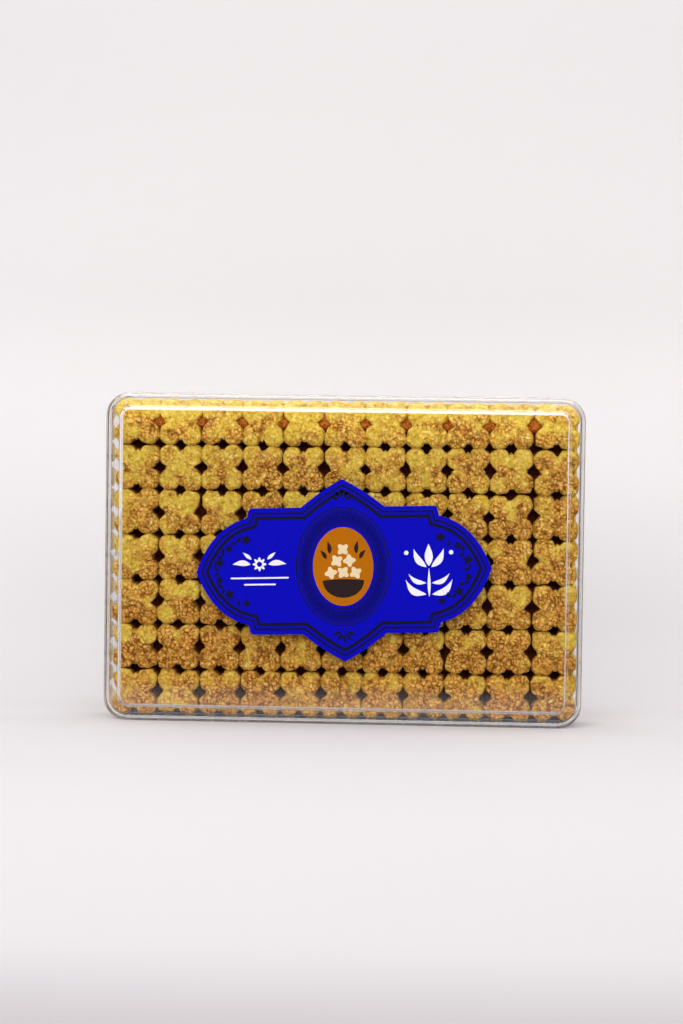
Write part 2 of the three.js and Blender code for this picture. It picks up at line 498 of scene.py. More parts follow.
def make_ribs(plastic):
    """Short round-nosed ribs between the tub's two bands."""
    front = lid_high.y + clearance + stop_band_width
    sections = []
    for i in range(ribs_on_long_side):
        x = (i - (ribs_on_long_side - 1) / 2) * rib_pitch
        sections.append((x, cad_low.z, 0, 1))
        sections.append((x, cad_high.z, 0, -1))
    for i in range(ribs_on_short_side):
        z = mid_height + (i - (ribs_on_short_side - 1) / 2) * rib_pitch
        sections.append((cad_low.x, z, 1, 0))
        sections.append((cad_high.x, z, -1, 0))
    vertices = []
    faces = []
    nose = np.linspace(0, math.pi, 9)
    for x, z, in_x, in_z in sections:
        half = rib_width / 2
        across = np.concatenate([half * np.cos(nose), [-half, half]])
        inward = np.concatenate([half - half * np.sin(nose), [band_proud + 0.05 * mm] * 2])
        first = len(vertices)
        count = len(across)
        for y in (front - 0.1 * mm, foot_band_front + 0.1 * mm):
            for a, b in zip(across, inward):
                vertices.append((x + a * in_z + b * in_x, y, z + b * in_z + a * in_x))
        loop = list(range(first, first + count))
        far = [v + count for v in loop]
        turned = in_x + in_z < 0
        sides = [[loop[j], loop[(j + 1) % count], far[(j + 1) % count], far[j]] for j in range(count)]
        made = [loop[::-1], far] + sides
        faces += [f[::-1] for f in made] if turned == (in_z != 0) else made
    made = piece("tub_ribs", vertices, faces, plastic, "tub")
    made.data.set_sharp_from_angle(angle=math.radians(40))
    return made


# Uneven surfaces
def scatter(cells, seed):
    """A random value from 0 to 1 for each whole-number cell, the same every time."""
    mixed = cells @ np.array([127.1, 311.7, 74.7]) + 13.7 * seed
    return (np.sin(mixed) * 43758.5453) % 1


def lumps(points, size, seed):
    """Smooth noise from 0 to 1, with lumps of about that size."""
    place = points / size
    cell = np.floor(place)
    share = place - cell
    share = share * share * (3 - 2 * share)
    total = np.zeros(len(points))
    for corner in np.ndindex(2, 2, 2):
        weight = np.prod(np.where(corner, share, 1 - share), axis=1)
        total += weight * scatter(cell + corner, seed)
    return total


def granules(points, size, seed):
    """Crumbs of about that size: how far each point is from its crumb's middle, how near
    to the crack round it, and the crumb's own tone."""
    place = points / size
    cell = np.floor(place)
    nearest = np.full(len(points), 9.0)
    second = np.full(len(points), 9.0)
    tone = np.zeros(len(points))
    for step in np.ndindex(3, 3, 3):
        there = cell + np.array(step) - 1
        stray = np.stack([scatter(there, seed + axis) for axis in range(3)], 1) - 0.5
        middle = there + 0.5 + 0.8 * stray
        distance = np.linalg.norm(place - middle, axis=1)
        nearer = distance < nearest
        second = np.where(nearer, nearest, np.minimum(second, distance))
        tone = np.where(nearer, scatter(there, seed + 5), tone)
        nearest = np.where(nearer, distance, nearest)
    return nearest, second - nearest, tone


def smooth_step(value, low, high):
    """0 at low and 1 at high, smooth between them, whichever of the two is greater."""
    share = np.clip((value - low) / (high - low), 0, 1)
    return share * share * (3 - 2 * share)


# Cookies
def tangent(start, centre, radius, side):
    """Where a straight line from start touches a circle, on that side of it."""
    towards = centre - start
    distance = np.linalg.norm(towards)
    radius = min(radius, 0.98 * distance)
    direction = math.atan2(towards[1], towards[0]) + side * math.asin(radius / distance)
    reach = math.sqrt(distance * distance - radius * radius)
    return start + reach * np.array([math.cos(direction), math.sin(direction)])


def cookie_outline(draw, directions):
    """The outline's radius in each direction: four round lobes with a notch between
    neighbouring lobes, each a little different."""
    notches = []
    for quarter in range(4):
        reach = notch_place[quarter % 2] + draw.uniform(-0.6, 0.1) * mm
        aside = draw.uniform(-0.3, 0.3) * mm
        along = np.array([[1, 0], [0, 1], [-1, 0], [0, -1]][quarter], float)
        across = np.array([-along[1], along[0]])
        middle = reach * along + aside * across
        notches.append((middle - notch_flat * across, middle + notch_flat * across))
    points = []
    for quarter, (side, top) in enumerate([(1, 1), (-1, 1), (-1, -1), (1, -1)]):
        radius = lobe_radius * draw.uniform(0.97, 1.03)
        centre = np.array([side * (lobe_place[0] + draw.uniform(-0.2, 0.15) * mm),
                           top * (lobe_place[1] + draw.uniform(-0.25, 0.15) * mm)])
        before = notches[quarter][1]
        after = notches[(quarter + 1) % 4][0]
        start = tangent(before, centre, radius, -1)
        end = tangent(after, centre, radius, 1)
        first = math.atan2(*(start - centre)[::-1])
        last = math.atan2(*(end - centre)[::-1])
        if last < first:
            last += 2 * math.pi
        arc = np.linspace(first, last, 20)
        from_corner = arc - math.atan2(top, side)
        square = 1 + 0.08 * np.maximum(0, np.cos(2 * from_corner)) * (np.cos(from_corner) > 0)
        points.append(before + np.linspace(0, 0.9, 5)[:, None] * (start - before))
        points.append(centre + (radius * square)[:, None] * np.stack([np.cos(arc), np.sin(arc)], 1))
        points.append(end + np.linspace(0.1, 0.9, 5)[:, None] * (after - end))
    points = np.concatenate(points)
    angles = np.arctan2(points[:, 1], points[:, 0])
    reaches = np.linalg.norm(points, axis=1)
    even = np.linspace(-math.pi, math.pi, 721)[:-1]
    radii = np.interp(even, *sorted_pairs(angles, reaches), period=2 * math.pi)
    spread = np.hanning(17)
    padded = np.concatenate([radii[-8:], radii, radii[:8]])
    radii = np.convolve(padded, spread / spread.sum(), mode="valid")
    for waves in range(7, 22, 2):
        radii += 0.09 * mm * np.sin(waves * even + draw.uniform(0, 2 * math.pi))
    return np.interp(directions, even, radii, period=2 * math.pi)


def sorted_pairs(first, second):
    order = np.argsort(first)
    return first[order], second[order]


def grid_faces(number):
    """The faces of a grid of numbered points."""
    corners = [number[:-1, :-1], number[1:, :-1], number[1:, 1:], number[:-1, 1:]]
    return np.stack(corners, -1).reshape(-1, 4)


def grid_rim(number):
    """The numbers round a grid's edge, in order."""
    return np.concatenate([number[:-1, 0], number[-1, :-1], number[:0:-1, -1], number[0, :0:-1]])


def disc_grid(count):
    """A square grid bent into a disc: how far out each point is, 0 to 1, its direction,
    the grid's faces, and its rim in order."""
    line = np.linspace(-1, 1, count + 1)
    u, v = np.meshgrid(line, line, indexing="ij")
    out = np.maximum(abs(u), abs(v))
    sideways = abs(u) >= abs(v)
    safe_u = np.where(u == 0, 1, u)
    safe_v = np.where(v == 0, 1, v)
    by_u = math.pi / 4 * v / safe_u + np.where(u < 0, math.pi, 0)
    by_v = math.pi / 2 - math.pi / 4 * u / safe_v + np.where(v < 0, math.pi, 0)
    direction = np.where(sideways, by_u, by_v)
    number = np.arange((count + 1) ** 2).reshape(count + 1, count + 1)
    return out.ravel(), direction.ravel(), grid_faces(number), grid_rim(number)


def cookie_mesh(draw, count, side_steps, depth):
    """One cookie's points, with its face at Y 0 looking to -Y, its faces, how far down the
    side each point is, and how near to the face's rim."""
    out, direction, grid, rim = disc_grid(count)
    reach = cookie_outline(draw, direction)
    from_edge = (1 - out) * reach
    near = np.clip(face_edge - from_edge, 0, face_edge)
    drop = face_edge - np.sqrt(face_edge * face_edge - near * near)
    dome = draw.uniform(0.5, 1.1) * mm * (out * reach / (11 * mm)) ** 2
    lean = draw.uniform(-0.35, 0.35, 2) * mm
    cosine, sine = np.cos(direction), np.sin(direction)
    x = out * reach * cosine
    z = out * reach * sine
    y = 0.9 * drop + dome + out * (lean[0] * cosine + lean[1] * sine)
    points = [np.stack([x, y, z], 1)]
    down = [np.zeros(len(x))]
    rim_points = points[0][rim]
    steps = np.linspace(0, 1, side_steps + 1)[1:]
    for step in steps:
        ring = rim_points.copy()
        swell = 1 + 0.02 * math.sin(math.pi * min(1, 1.3 * step))
        ring[:, 0] *= swell
        ring[:, 2] *= swell
        ring[:, 1] += step * (depth - rim_points[:, 1])
        points.append(ring)
        down.append(np.full(len(rim), step))
    points.append(np.array([[0, depth, 0]]))
    down.append(np.ones(1))
    faces = [grid[:, ::-1]]
    above = rim
    first = len(x)
    for step in range(side_steps):
        below = np.arange(first, first + len(rim))
        faces.append(np.stack([above, np.roll(above, -1), np.roll(below, -1), below], 1)[:, ::-1])
        above = below
        first += len(rim)
    last = np.full(len(rim), first)
    cap = np.stack([above, np.roll(above, -1), last, last], 1)[:, ::-1]
    rim_share = np.ones(first + 1)
    rim_share[:len(x)] = 1 - smooth_step(from_edge, 0.1 * mm, 1.5 * mm)
    return np.concatenate(points), faces, cap, np.concatenate(down), rim_share


def vertex_normals(points, quads):
    across = points[quads[:, 2]] - points[quads[:, 0]]
    other = points[quads[:, 3]] - points[quads[:, 1]]
    facing = np.cross(across, other)
    total = np.zeros_like(points)
    for corner in range(4):
        for axis in range(3):
            total[:, axis] += np.bincount(quads[:, corner], facing[:, axis], len(points))
    return total / np.maximum(np.linalg.norm(total, axis=1), 1e-12)[:, None]


def kept_inside(points, clear):
    """Holds points inside the tub, its round corners too."""
    inset = band_proud + wall + clear
    radius = pack_radius - inset
    half = np.array([pack_outline.half_length - inset, pack_outline.half_height - inset])
    flat = points[:, [0, 2]] - np.array([0, mid_height])
    beyond = np.abs(flat) - (half - radius)
    beyond = np.minimum(beyond, radius)
    length = np.linalg.norm(np.maximum(beyond, 0), axis=1)
    pull = np.minimum(1, radius / np.maximum(length, 1e-9))
    both = (beyond > 0).all(axis=1)
    beyond[both] *= pull[both][:, None]
    held = np.sign(flat) * (half - radius + beyond)
    held = np.where(np.abs(flat) < 1e-9, 0, held)
    points[:, 0] = held[:, 0]
    points[:, 2] = held[:, 1] + mid_height
    return points


def column_places():
    """The middle of each column of cookies and its share of a cookie's usual length. The
    end columns are a little wider, and stand against the tub's sides."""
    number = np.arange(columns)
    from_right = columns - 1 - number
    widths = column_width + 1.6 * mm * np.exp(-number ** 2)
    widths += 2.5 * mm * np.exp(-(from_right / 1.35) ** 2)
    ends = heap_low.x + 0.5 * mm + np.cumsum(widths)
    shares = np.minimum(widths / cookie_length, 1.07)
    return ends - shares * cookie_length / 2, shares


def crumb_patches(points, down, rim_share, seed, crumbly, row, height_share):
    """How far browned crumbs cover each point of a cookie, 0 to 1. They lie in lumpy patches,
    more of them low on a cookie's face and low in the pack, and few on its smooth sides."""
    patch = 1.3 * lumps(points, 5.5 * mm, seed + 1) + 0.45 * lumps(points, 2.2 * mm, seed + 2)
    patch += 0.5 * (crumbly - 0.5) - 0.36 * (height_share - 0.5) - 0.28 * points[:, 2] / (10 * mm)
    patch -= 0.05 + 0.15 * (row == rows - 1)
    from_middle = np.hypot(points[:, 0], points[:, 2])
    patch -= 0.1 * smooth_step(from_middle, 6.5 * mm, 11 * mm)
    patch = (0.12 + 0.88 * smooth_step(patch, 0.1, 1.08)) * (1 - 0.5 * rim_share)
    return patch + (0.3 - patch) * smooth_step(down, 0.0, 0.25)


def crumbled(points, quads, patch, seed):
    """A cookie's points with its lumps and crumbs raised, each crumb's tone with a painted
    highlight towards its middle, and how near each point is to a crack between crumbs."""
    bent = points.copy()
    for lump_size, number, side in ((1.9 * mm, 8, 1), (2.6 * mm, 9, -1)):
        bend = lumps(points, lump_size, seed + number)[:, None] - 0.5
        bent += 1.0 * mm * bend * (side, 0.4, -1)
    nearest, crack, tone = granules(bent, crumb_size, seed)
    swell = 0.9 * lumps(points, 4.2 * mm, seed + 3) + 0.4 * lumps(points, 2.1 * mm, seed + 4) - 0.65
    cracks = 1 - smooth_step(crack, 0.02, 0.3)
    cracks *= 0.4 + 0.6 * smooth_step(lumps(points, 1.8 * mm, seed + 12), 0.3, 0.6)
    rise = 0.35 * smooth_step(crack, 0, 0.35) + 0.35 * (tone - 0.5) + 0.7 * (0.5 - nearest) - 0.3
    push = 0.6 * mm * swell + (0.05 + 0.95 * patch) * rise * mm
    raised = points + push[:, None] * vertex_normals(points, quads)
    # The tone carries a painted highlight towards each crumb's middle.
    return raised, 0.8 * tone + 0.2 * smooth_step(nearest, 0.75, 0.15), cracks


def inside_by(points):
    """How far inside the pack's outer sides each point is."""
    return np.minimum(
        pack_outline.half_length - np.abs(points[:, 0]),
        pack_outline.half_height - np.abs(points[:, 2] - mid_height),
    )


def store(made, name, values):
    """Gives each of a mesh's points a value that its material reads under that name."""
    stored = made.data.attributes.new(name, "FLOAT", "POINT")
    stored.data.foreach_set("value", values.astype(np.float32))


def cookie_row(layer, row, material):
    """A row of cookies as one piece. Layer 0 is behind the lid, layer 1 at the back."""
    draw = np.random.default_rng(100 * layer + row + 7)
    count, inner_steps, outer_steps = cookie_steps[layer]
    facing = 1 if layer == 0 else -1
    front = (heap_low.y if layer == 0 else heap_high.y) + facing * face_clearance
    depth = (heap_high.y - heap_low.y - layer_gap) / 2 - 2 * face_clearance
    row_height = mid_height + (row - (rows - 1) / 2) * row_pitch
    points, faces, caps, painted_side_shade, crumbs, bakes = [], [], [], [], [], []
    first = 0
    middles, lengths = column_places()
    for column in range(columns):
        outermost = row in (0, rows - 1) or column in (0, columns - 1)
        side_steps = outer_steps if outermost else inner_steps
        local, grids, cap, down, rim_share = cookie_mesh(draw, count, side_steps, depth)
        crumbly = draw.uniform(0, 1)
        height_share = (row + draw.uniform(-0.8, 0.8)) / (rows - 1)
        size = draw.uniform(0.985, 1.015)
        turn = math.radians(draw.normal(0, 1.6))
        x = middles[column] + draw.uniform(-0.25, 0.25) * mm
        z = row_height + draw.uniform(-0.25, 0.25) * mm
        sink = draw.uniform(0, 0.7) * mm
        seed = 1000 * layer + 37 * row + 3 * column
        patch = crumb_patches(local, down, rim_share, seed, crumbly, row, height_share)
        local, tone, cracks = crumbled(local, np.concatenate(grids + [cap]), patch, seed)
        crumbs.append(np.stack([tone, cracks, patch, np.ones(len(local))], 1))
        baked = 0.8 * lumps(local, 7 * mm, seed + 6) - 0.6 * (height_share - 0.5)
        bakes.append(np.clip(baked, 0, 1))
        cosine, sine = math.cos(turn), math.sin(turn)
        points.append(np.stack([
            x + size * lengths[column] * (local[:, 0] * cosine - local[:, 2] * sine),
            front + facing * np.maximum(local[:, 1] + sink, 0.05 * mm),
            z + size * (local[:, 0] * sine + local[:, 2] * cosine),
        ], 1))
        # Painted shade down each cookie's side and at the rim of its face.
        painted_side_shade.append(0.3 * rim_share + 0.7 * smooth_step(down, 0.08, 0.5))
        faces.append(np.concatenate(grids)[:, ::facing] + first)
        caps.append(cap[:, ::facing] + first)
        first += len(local)
    points = kept_inside(np.concatenate(points), clearance)
    quads = np.concatenate(faces).tolist()
    triangles = [list(dict.fromkeys(f)) for f in np.concatenate(caps).tolist()]
    name = f"cookies_{'front' if layer == 0 else 'back'}_row_{row + 1}"
    made = piece(name, points, quads + triangles, material, "cookies")
    crumb = made.data.attributes.new("crumb", "FLOAT_COLOR", "POINT")
    crumb.data.foreach_set("color", np.concatenate(crumbs).astype(np.float32).ravel())
    from_top = cad_high.z - points[:, 2]
    lit_from_above = smooth_step(from_top, 25 * mm, 12 * mm)
    inner = smooth_step(inside_by(points), 7 * mm, 11 * mm)
    # Painted shade on sides and rims: none near the pack's outer sides, less in the top rows, which
    # light from above reaches.
    store(made, "painted_light_and_shade", np.concatenate(painted_side_shade) * inner * (0.95 - 0.8 * lit_from_above))
    store(made, "baked", np.concatenate(bakes))
    # Painted light, strongest in the top rows and at the top of their faces.
    top_rows = smooth_step(from_top, 26 * mm, 15 * mm)
    top_face = smooth_step(from_top, 10 * mm, 6 * mm)
    store(made, "painted_top_light", 0.26 * top_rows + 0.08 * top_face)


def make_core(material):
    """The middle of the heap, which shows at the bottom of the gaps between cookies: a
    crumbly sheet at the front and one at the back, joined round their rims, that carries
    the gaps' painted light and shade."""
    left = heap_low.x + core_inset
    right = heap_high.x - core_edge
    low = heap_low.z + core_edge
    high = heap_high.z - core_edge
    along = np.linspace(left, right, core_steps[0] + 1)
    up = np.linspace(low, high, core_steps[1] + 1)
    grid_x, grid_z = np.meshgrid(along, up, indexing="ij")
    flat = np.stack([grid_x.ravel(), 0 * grid_x.ravel(), grid_z.ravel()], 1)
    from_left = flat[:, 0] - left
    from_top = high - flat[:, 2]
    from_edge = np.minimum(right - flat[:, 0], np.minimum(flat[:, 2] - low, from_top))
    forward = (1 - smooth_step(from_edge, 1.5 * mm, 5 * mm)) * smooth_step(from_left, 2 * mm, 8 * mm)
    forward = np.maximum(forward, 0.9 * smooth_step(from_top, 16 * mm, 12 * mm))
    middle = (heap_low.y + heap_high.y) / 2
    reach = (heap_high.y - heap_low.y - core_thickness) / 2 - 3 * mm
    sheets = []
    for side in (-1, 1):
        nearest = granules(flat + (0, 0.3 * side, 0), core_crumb_size, 11)[0]
        sheet = flat.copy()
        sheet[:, 1] = middle + side * (core_thickness / 2 - 0.8 * mm * nearest + reach * forward)
        sheets.append(sheet)
    points = kept_inside(np.concatenate(sheets), core_edge)
    number = np.arange(len(points)).reshape(2, len(along), len(up))
    rims = [grid_rim(sheet) for sheet in number]
    joined = np.stack([np.roll(rims[0], -1), rims[0], rims[1], np.roll(rims[1], -1)], 1)
    back_faces = grid_faces(number[1])[:, [0, 3, 2, 1]]
    faces = np.concatenate([grid_faces(number[0]), back_faces, joined])
    made = piece("cookies_core", points, faces.tolist(), material, "cookies")
    height = points[:, 2]
    from_top = cad_high.z - height
    # Painted shade in the gaps away from the pack's outer sides, and low down.
    shaded = np.maximum(
        smooth_step(inside_by(points), 4.5 * mm, 8 * mm),
        1 - smooth_step(height, 8 * mm, 14 * mm),
    )
    # Less painted shade in the top rows, where a painted orange glow stands for light from above.
    shaded *= 1 - 0.45 * smooth_step(from_top, 22 * mm, 16 * mm)
    # A greyish painted shadow at the foot.
    shaded += 0.5 * (1 - smooth_step(height, 4 * mm, 7 * mm))
    # Pale painted light at the very top.
    shaded -= 0.5 * smooth_step(from_top, 8 * mm, 6 * mm)
    store(made, "painted_light_and_shade", shaded)


def core_finish():
    """What shows between cookies, all painted light and shade: pale painted light at the very
    top, a painted orange glow below it, then painted shade, and a greyish painted shadow at
    the foot."""
    finish = Finish("cookie_gaps_painted_light_and_shade")
    grain = finish.noise(900, detail=4)
    painted_light_and_shade = finish.stored("painted_light_and_shade")
    speckle = grain.between(0.35, 0.65)
    lit = finish.mix(speckle, colour(206, 158, 60), colour(244, 210, 110))
    # Painted shade deep in the gaps.
    deep = finish.mix(grain, colour(120, 60, 20), colour(84, 36, 10))
    # Painted orange glow for light from above in the top rows' gaps.
    orange = finish.mix(grain.between(0.4, 0.6), colour(170, 82, 22), colour(222, 138, 54))
    # Pale painted light at the very top.
    pale = finish.mix(speckle, colour(206, 158, 56), colour(255, 238, 156))
    gaps = finish.mix(painted_light_and_shade.between(0.0, 0.5), lit, orange)
    gaps = finish.mix(painted_light_and_shade.between(0.5, 1.0), gaps, deep)
    gaps = finish.mix(painted_light_and_shade.between(0.0, -0.5), gaps, pale)
    # Above 1, a greyish painted shadow at the foot.
    return finish.finish(finish.principled(
        Base_Color=finish.mix(painted_light_and_shade.between(1.0, 1.5), gaps, colour(50, 34, 40)),
        Roughness=0.9,
        Specular_IOR_Level=0.1,
        Normal=finish.bump(grain, 0.0004),
    ))


# Label
def bezier(points, steps):
    """Points along a quadratic or cubic curve, without its last one."""
    share = np.linspace(0, 1, steps + 1)[:-1, None]
    level = [np.array(p, float) for p in points]
    level = [p + 0 * share for p in level]
    while len(level) > 1:
        level = [a + share * (b - a) for a, b in zip(level, level[1:])]
    return level[0]


def label_outline():
    """The label's pointed cartouche, from its middle, in metres, counter-clockwise."""
    tip = (72.8, 0)
    lobe = [(66.8, 16.6), (57.5, 23.9), (47.4, 26.3)]
    drop = (46.7, 28.8)
    corner = (46.6, 31.2)
    shoulder = (44.6, 31.2)
    foot = (20.6, 31.2)
    bulge = (9, 40.6)
    top = (0, 44.9)
    quarter = np.concatenate([
        bezier([tip, *lobe], 80),
        bezier([lobe[-1], drop], 8),
        bezier([drop, corner, shoulder], 10),
        bezier([shoulder, foot], 50),
        bezier([foot, bulge, top], 60),
        [top],
    ])
    left = (quarter * (-1, 1))[::-1][1:]
    upper = np.concatenate([quarter, left])
    lower = (upper * (1, -1))[::-1][1:-1]
    return np.concatenate([upper, lower]) * mm


def set_in(outline, distance):
    """The outline moved inwards by a distance, with its corners kept sharp."""
    before = outline - np.roll(outline, 1, axis=0)
    after = np.roll(outline, -1, axis=0) - outline
    normals = []
    for step in (before, after):
        step = step / np.linalg.norm(step, axis=1)[:, None]
        normals.append(np.stack([-step[:, 1], step[:, 0]], 1))
    joint = 1 + np.sum(normals[0] * normals[1], axis=1)
    moved = outline + distance * (normals[0] + normals[1]) / joint[:, None]
    gaps = np.linalg.norm(moved[:, None, :] - outline[None, :, :], axis=2).min(axis=1)
    return moved[gaps > 0.985 * distance]


def oval(x, z, half_width, half_height, steps=72):
    turns = np.linspace(0, 2 * math.pi, steps + 1)[:-1]
    return np.stack([x + half_width * np.cos(turns), z + half_height * np.sin(turns)], 1) * mm


def floret(x, z, size, petals, depth, turn=0.0):
    turns = np.linspace(0, 2 * math.pi, 60, endpoint=False)
    reach = size * (1 - depth + depth * np.cos(petals * (turns - turn)))
    return np.stack([x + reach * np.cos(turns), z + reach * np.sin(turns)], 1) * mm


def leaf(x, z, length, width, degrees, bend=0.0):
    """A pointed leaf from its stalk end at x, z, in millimetres."""
    along = np.linspace(0, 1, 15)
    half = width / 2 * np.sin(math.pi * along ** 0.8) ** 1.1
    middle = bend * np.sin(math.pi * along)
    upper = np.stack([along * length, middle + half], 1)
    lower = np.stack([along * length, middle - half], 1)[::-1][1:-1]
    points = np.concatenate([upper, lower])
    turn = math.radians(degrees)
    cosine, sine = math.cos(turn), math.sin(turn)
    turned = np.stack([points[:, 0] * cosine - points[:, 1] * sine,
                       points[:, 0] * sine + points[:, 1] * cosine], 1)
    return (turned + (x, z)) * mm


def bar(x, z, length, width):
    """A thin rule with round ends, centred at x, z."""
    turns = np.linspace(-math.pi / 2, math.pi / 2, 8)
    end = np.stack([length / 2 + width / 2 * np.cos(turns), width / 2 * np.sin(turns)], 1)
    return (np.concatenate([end, -end]) + (x, z)) * mm


def label_piece(name, loops, front, back, materials):
    """A thin piece in the label's plane. A loop inside another is a hole in it."""
    curve = bpy.data.curves.new(name, "CURVE")
    curve.dimensions = "2D"
    curve.fill_mode = "BOTH"
    curve.extrude = (back - front) / 2
    for loop in loops:
        spline = curve.splines.new("POLY")
        spline.points.add(len(loop) - 1)
        flat = np.pad(loop, ((0, 0), (0, 2)))
        flat[:, 3] = 1
        spline.points.foreach_set("co", flat.ravel())
        spline.use_cyclic_u = True
    holder = placed(name + "_curve", curve)
    bpy.context.view_layer.update()
    view = bpy.context.evaluated_depsgraph_get()
    mesh = bpy.data.meshes.new_from_object(holder.evaluated_get(view))
    bpy.data.objects.remove(holder)
    upright = Matrix.Rotation(math.pi / 2, 4, "X")
    turned = Matrix.Rotation(-label_turn, 4, "Y")
    place = Matrix.Translation((label_middle[0], (front + back) / 2, label_middle[1]))
    mesh.transform(place @ turned @ upright)
    mesh.name = name
    mesh.materials.clear()
    for material in materials:
        mesh.materials.append(material)
    if len(materials) > 1:
        for polygon in mesh.polygons:
            polygon.material_index = 0 if abs(polygon.normal.y) > 0.5 else 1
    made = placed(name, mesh)
    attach(made, "root")
    return made


def printed(name, shapes, ink, base=0, top=1):
    """Shapes printed on the label, between two levels in thicknesses of ink."""
    front = label_face - top * ink_thickness
    label_piece(name, shapes, front, label_face - base * ink_thickness, [ink])


def label_lines(outline):
    """A double border that follows the edge, and rings round the medallion."""
    borders = [set_in(outline, distance * mm) for distance in (2.2, 3.1, 4.2, 5.8)]
    inner_rings = [oval(*medallion, half, half + 4.5) for half in (16.0, 16.7)]
    outer_rings = [oval(*medallion, half, half + 6) for half in (21.6, 22.1, 22.8, 23.4)]
    return borders + inner_rings + outer_rings


def end_motifs():
    """Florets with two leaves between neighbours, on an arc round each end."""
    motifs = []
    for side in (-1, 1):
        for step in np.arange(0, 5.5, 0.5):
            turn = math.radians(-72 + 29 * step)
            place = (side * (42 + 20 * math.cos(turn)), 16.5 * math.sin(turn))
            if step % 1 == 0:
                motifs.append(floret(*place, 2.5 if step % 2 else 1.9, 5, 0.2, turn))
                continue
            slope = 90 + side * (math.degrees(turn) - 20)
            motifs.append(leaf(*place, 4.0, 1.7, slope, 0.4))
            motifs.append(leaf(*place, 3.4, 1.5, slope + 115, 0.4))
    return motifs


def fan_motifs():
    """A fan of five leaves over the medallion and one under it."""
    motifs = []
    for side, base, spread, length in ((1, 34.6, 36, 3.6), (-1, 29.6, 34, 4.8)):
        for step in (-2, -1, 0, 1, 2):
            turn = math.radians(90 + spread * step)
            x = medallion_x + 1.6 * math.cos(turn)
            z = side * (base + 1.6 * math.sin(turn))
            motifs.append(leaf(x, z, length, 1.5, side * math.degrees(turn)))
    return motifs


def medallion_dots(count):
    dots = []
    for turn in np.linspace(0, 2 * math.pi, count, endpoint=False):
        x = medallion_x + 19.1 * math.cos(turn)
        z = medallion_z + 24.4 * math.sin(turn)
        dots.append(floret(x, z, 1.15, 4, 0.3, turn))
    return dots


def bowl_and_leaves():
    half = 10.2
    under = oval(0, 0, half, 8.6)[36:]
    brim = bezier([(half, 0), (0, 1.2), (-half, 0)], 12) * mm
    bowl = np.concatenate([under, brim]) + np.array([medallion_x, medallion_z - 6.8]) * mm
    shapes = [bowl]
    for out, z, length, width, lean in ((6.6, 8.2, 6.4, 2.2, 8), (8.2, 5.6, 5.4, 2.0, 34)):
        for side in (-1, 1):
            x = medallion_x + side * out
            shapes.append(leaf(x, z, length, width, 90 - side * lean, 0.4 * side))
    return shapes


def sweets():
    """Small four-lobed cookies piled in the bowl: how far right and up, and their turn."""
    bottom = [(-6.1, -3.1, 0.2), (0, -2.9, 0.9), (6.1, -3.1, 0.5)]
    upper = [(-3.1, 2.8, 0.6), (3.1, 2.9, 0.1), (0, 8.5, 0.75)]
    shapes = []
    for x, z, turn in bottom + upper:
        shapes.append(floret(medallion_x + x, medallion_z + z, 3.2, 4, 0.19, turn))
    return shapes


def rosette_and_rules():
    """A flower with a sprig each side of it, over two rules."""
    shapes = [floret(*rosette, 3.5, 8, 0.2), oval(*rosette, 1.3, 1.3, 24)]
    for side in (-1, 1):
        shapes.append(leaf(rosette_x + side * 4.4, rosette_z, 9.0, 2.8, 90 - side * 90, 0.7 * side))
        shapes.append(leaf(rosette_x + side * 3.9, 6.0, 5.4, 1.7, 90 - side * 50))
    for z, length in ((-3.2, 28), (-6.4, 15)):
        shapes.append(bar(rosette_x, z, length, 0.8))
    return shapes


def tulip():
    """A flower on a stalk, with two pairs of leaves and a dot each side."""
    shapes = [leaf(tulip_x, 1.6, 11.0, 4.0, 90), leaf(tulip_x, -13.6, 14.4, 1.5, 90)]
    for side in (-1, 1):
        shapes.append(leaf(tulip_x + side * 1.2, 1.0, 11.0, 3.2, 90 - side * 34, -1.3 * side))
        shapes.append(leaf(tulip_x + side * 1.4, -12.4, 12.5, 3.4, 90 - side * 54, -2.4 * side))
        shapes.append(leaf(tulip_x + side * 1.3, -6.8, 10.0, 2.4, 90 - side * 62, -1.6 * side))
        shapes.append(oval(tulip_x + side * 11.0, 8.2, 1.1, 1.1, 24))
    return shapes


def make_label():
    blue = print_finish("label_blue", (0.0018, 0.0014, 0.44))
    edge = print_finish("label_paper", (0.70, 0.68, 0.72))
    dark = print_finish("label_dark", (0.006, 0.005, 0.02))
    faint = print_finish("label_shade", (0.003, 0.002, 0.07))
    band = print_finish("label_band", (0.002, 0.0015, 0.20))
    amber = print_finish("label_amber", (0.44, 0.130, 0.001))
    cream = print_finish("label_cream", (0.78, 0.62, 0.38))
    brown = print_finish("label_brown", (0.022, 0.012, 0.012))
    white = print_finish("label_white", (0.84, 0.82, 0.85))
    outline = label_outline()
    sheet = label_piece("label_sheet", [outline], label_face, lid_low.y - 0.03 * mm, [blue, edge])
    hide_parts("label")
    printed("label_lines", label_lines(outline), dark)
    printed("label_florets", end_motifs() + fan_motifs(), dark)
    band_shapes = [oval(*medallion, 17.1, 21.6), oval(*medallion, 21.3, 27.3)]
    printed("label_medallion_band", band_shapes, band, top=0.5)
    printed("label_medallion_border", medallion_dots(44), faint, base=0.5)
    printed("label_medallion", [oval(*medallion, 14.9, 19.4)], amber)
    printed("label_bowl", bowl_and_leaves(), brown, base=1, top=2)
    printed("label_sweets", sweets(), cream, base=1, top=2)
    printed("label_ornament", rosette_and_rules() + tulip(), white)


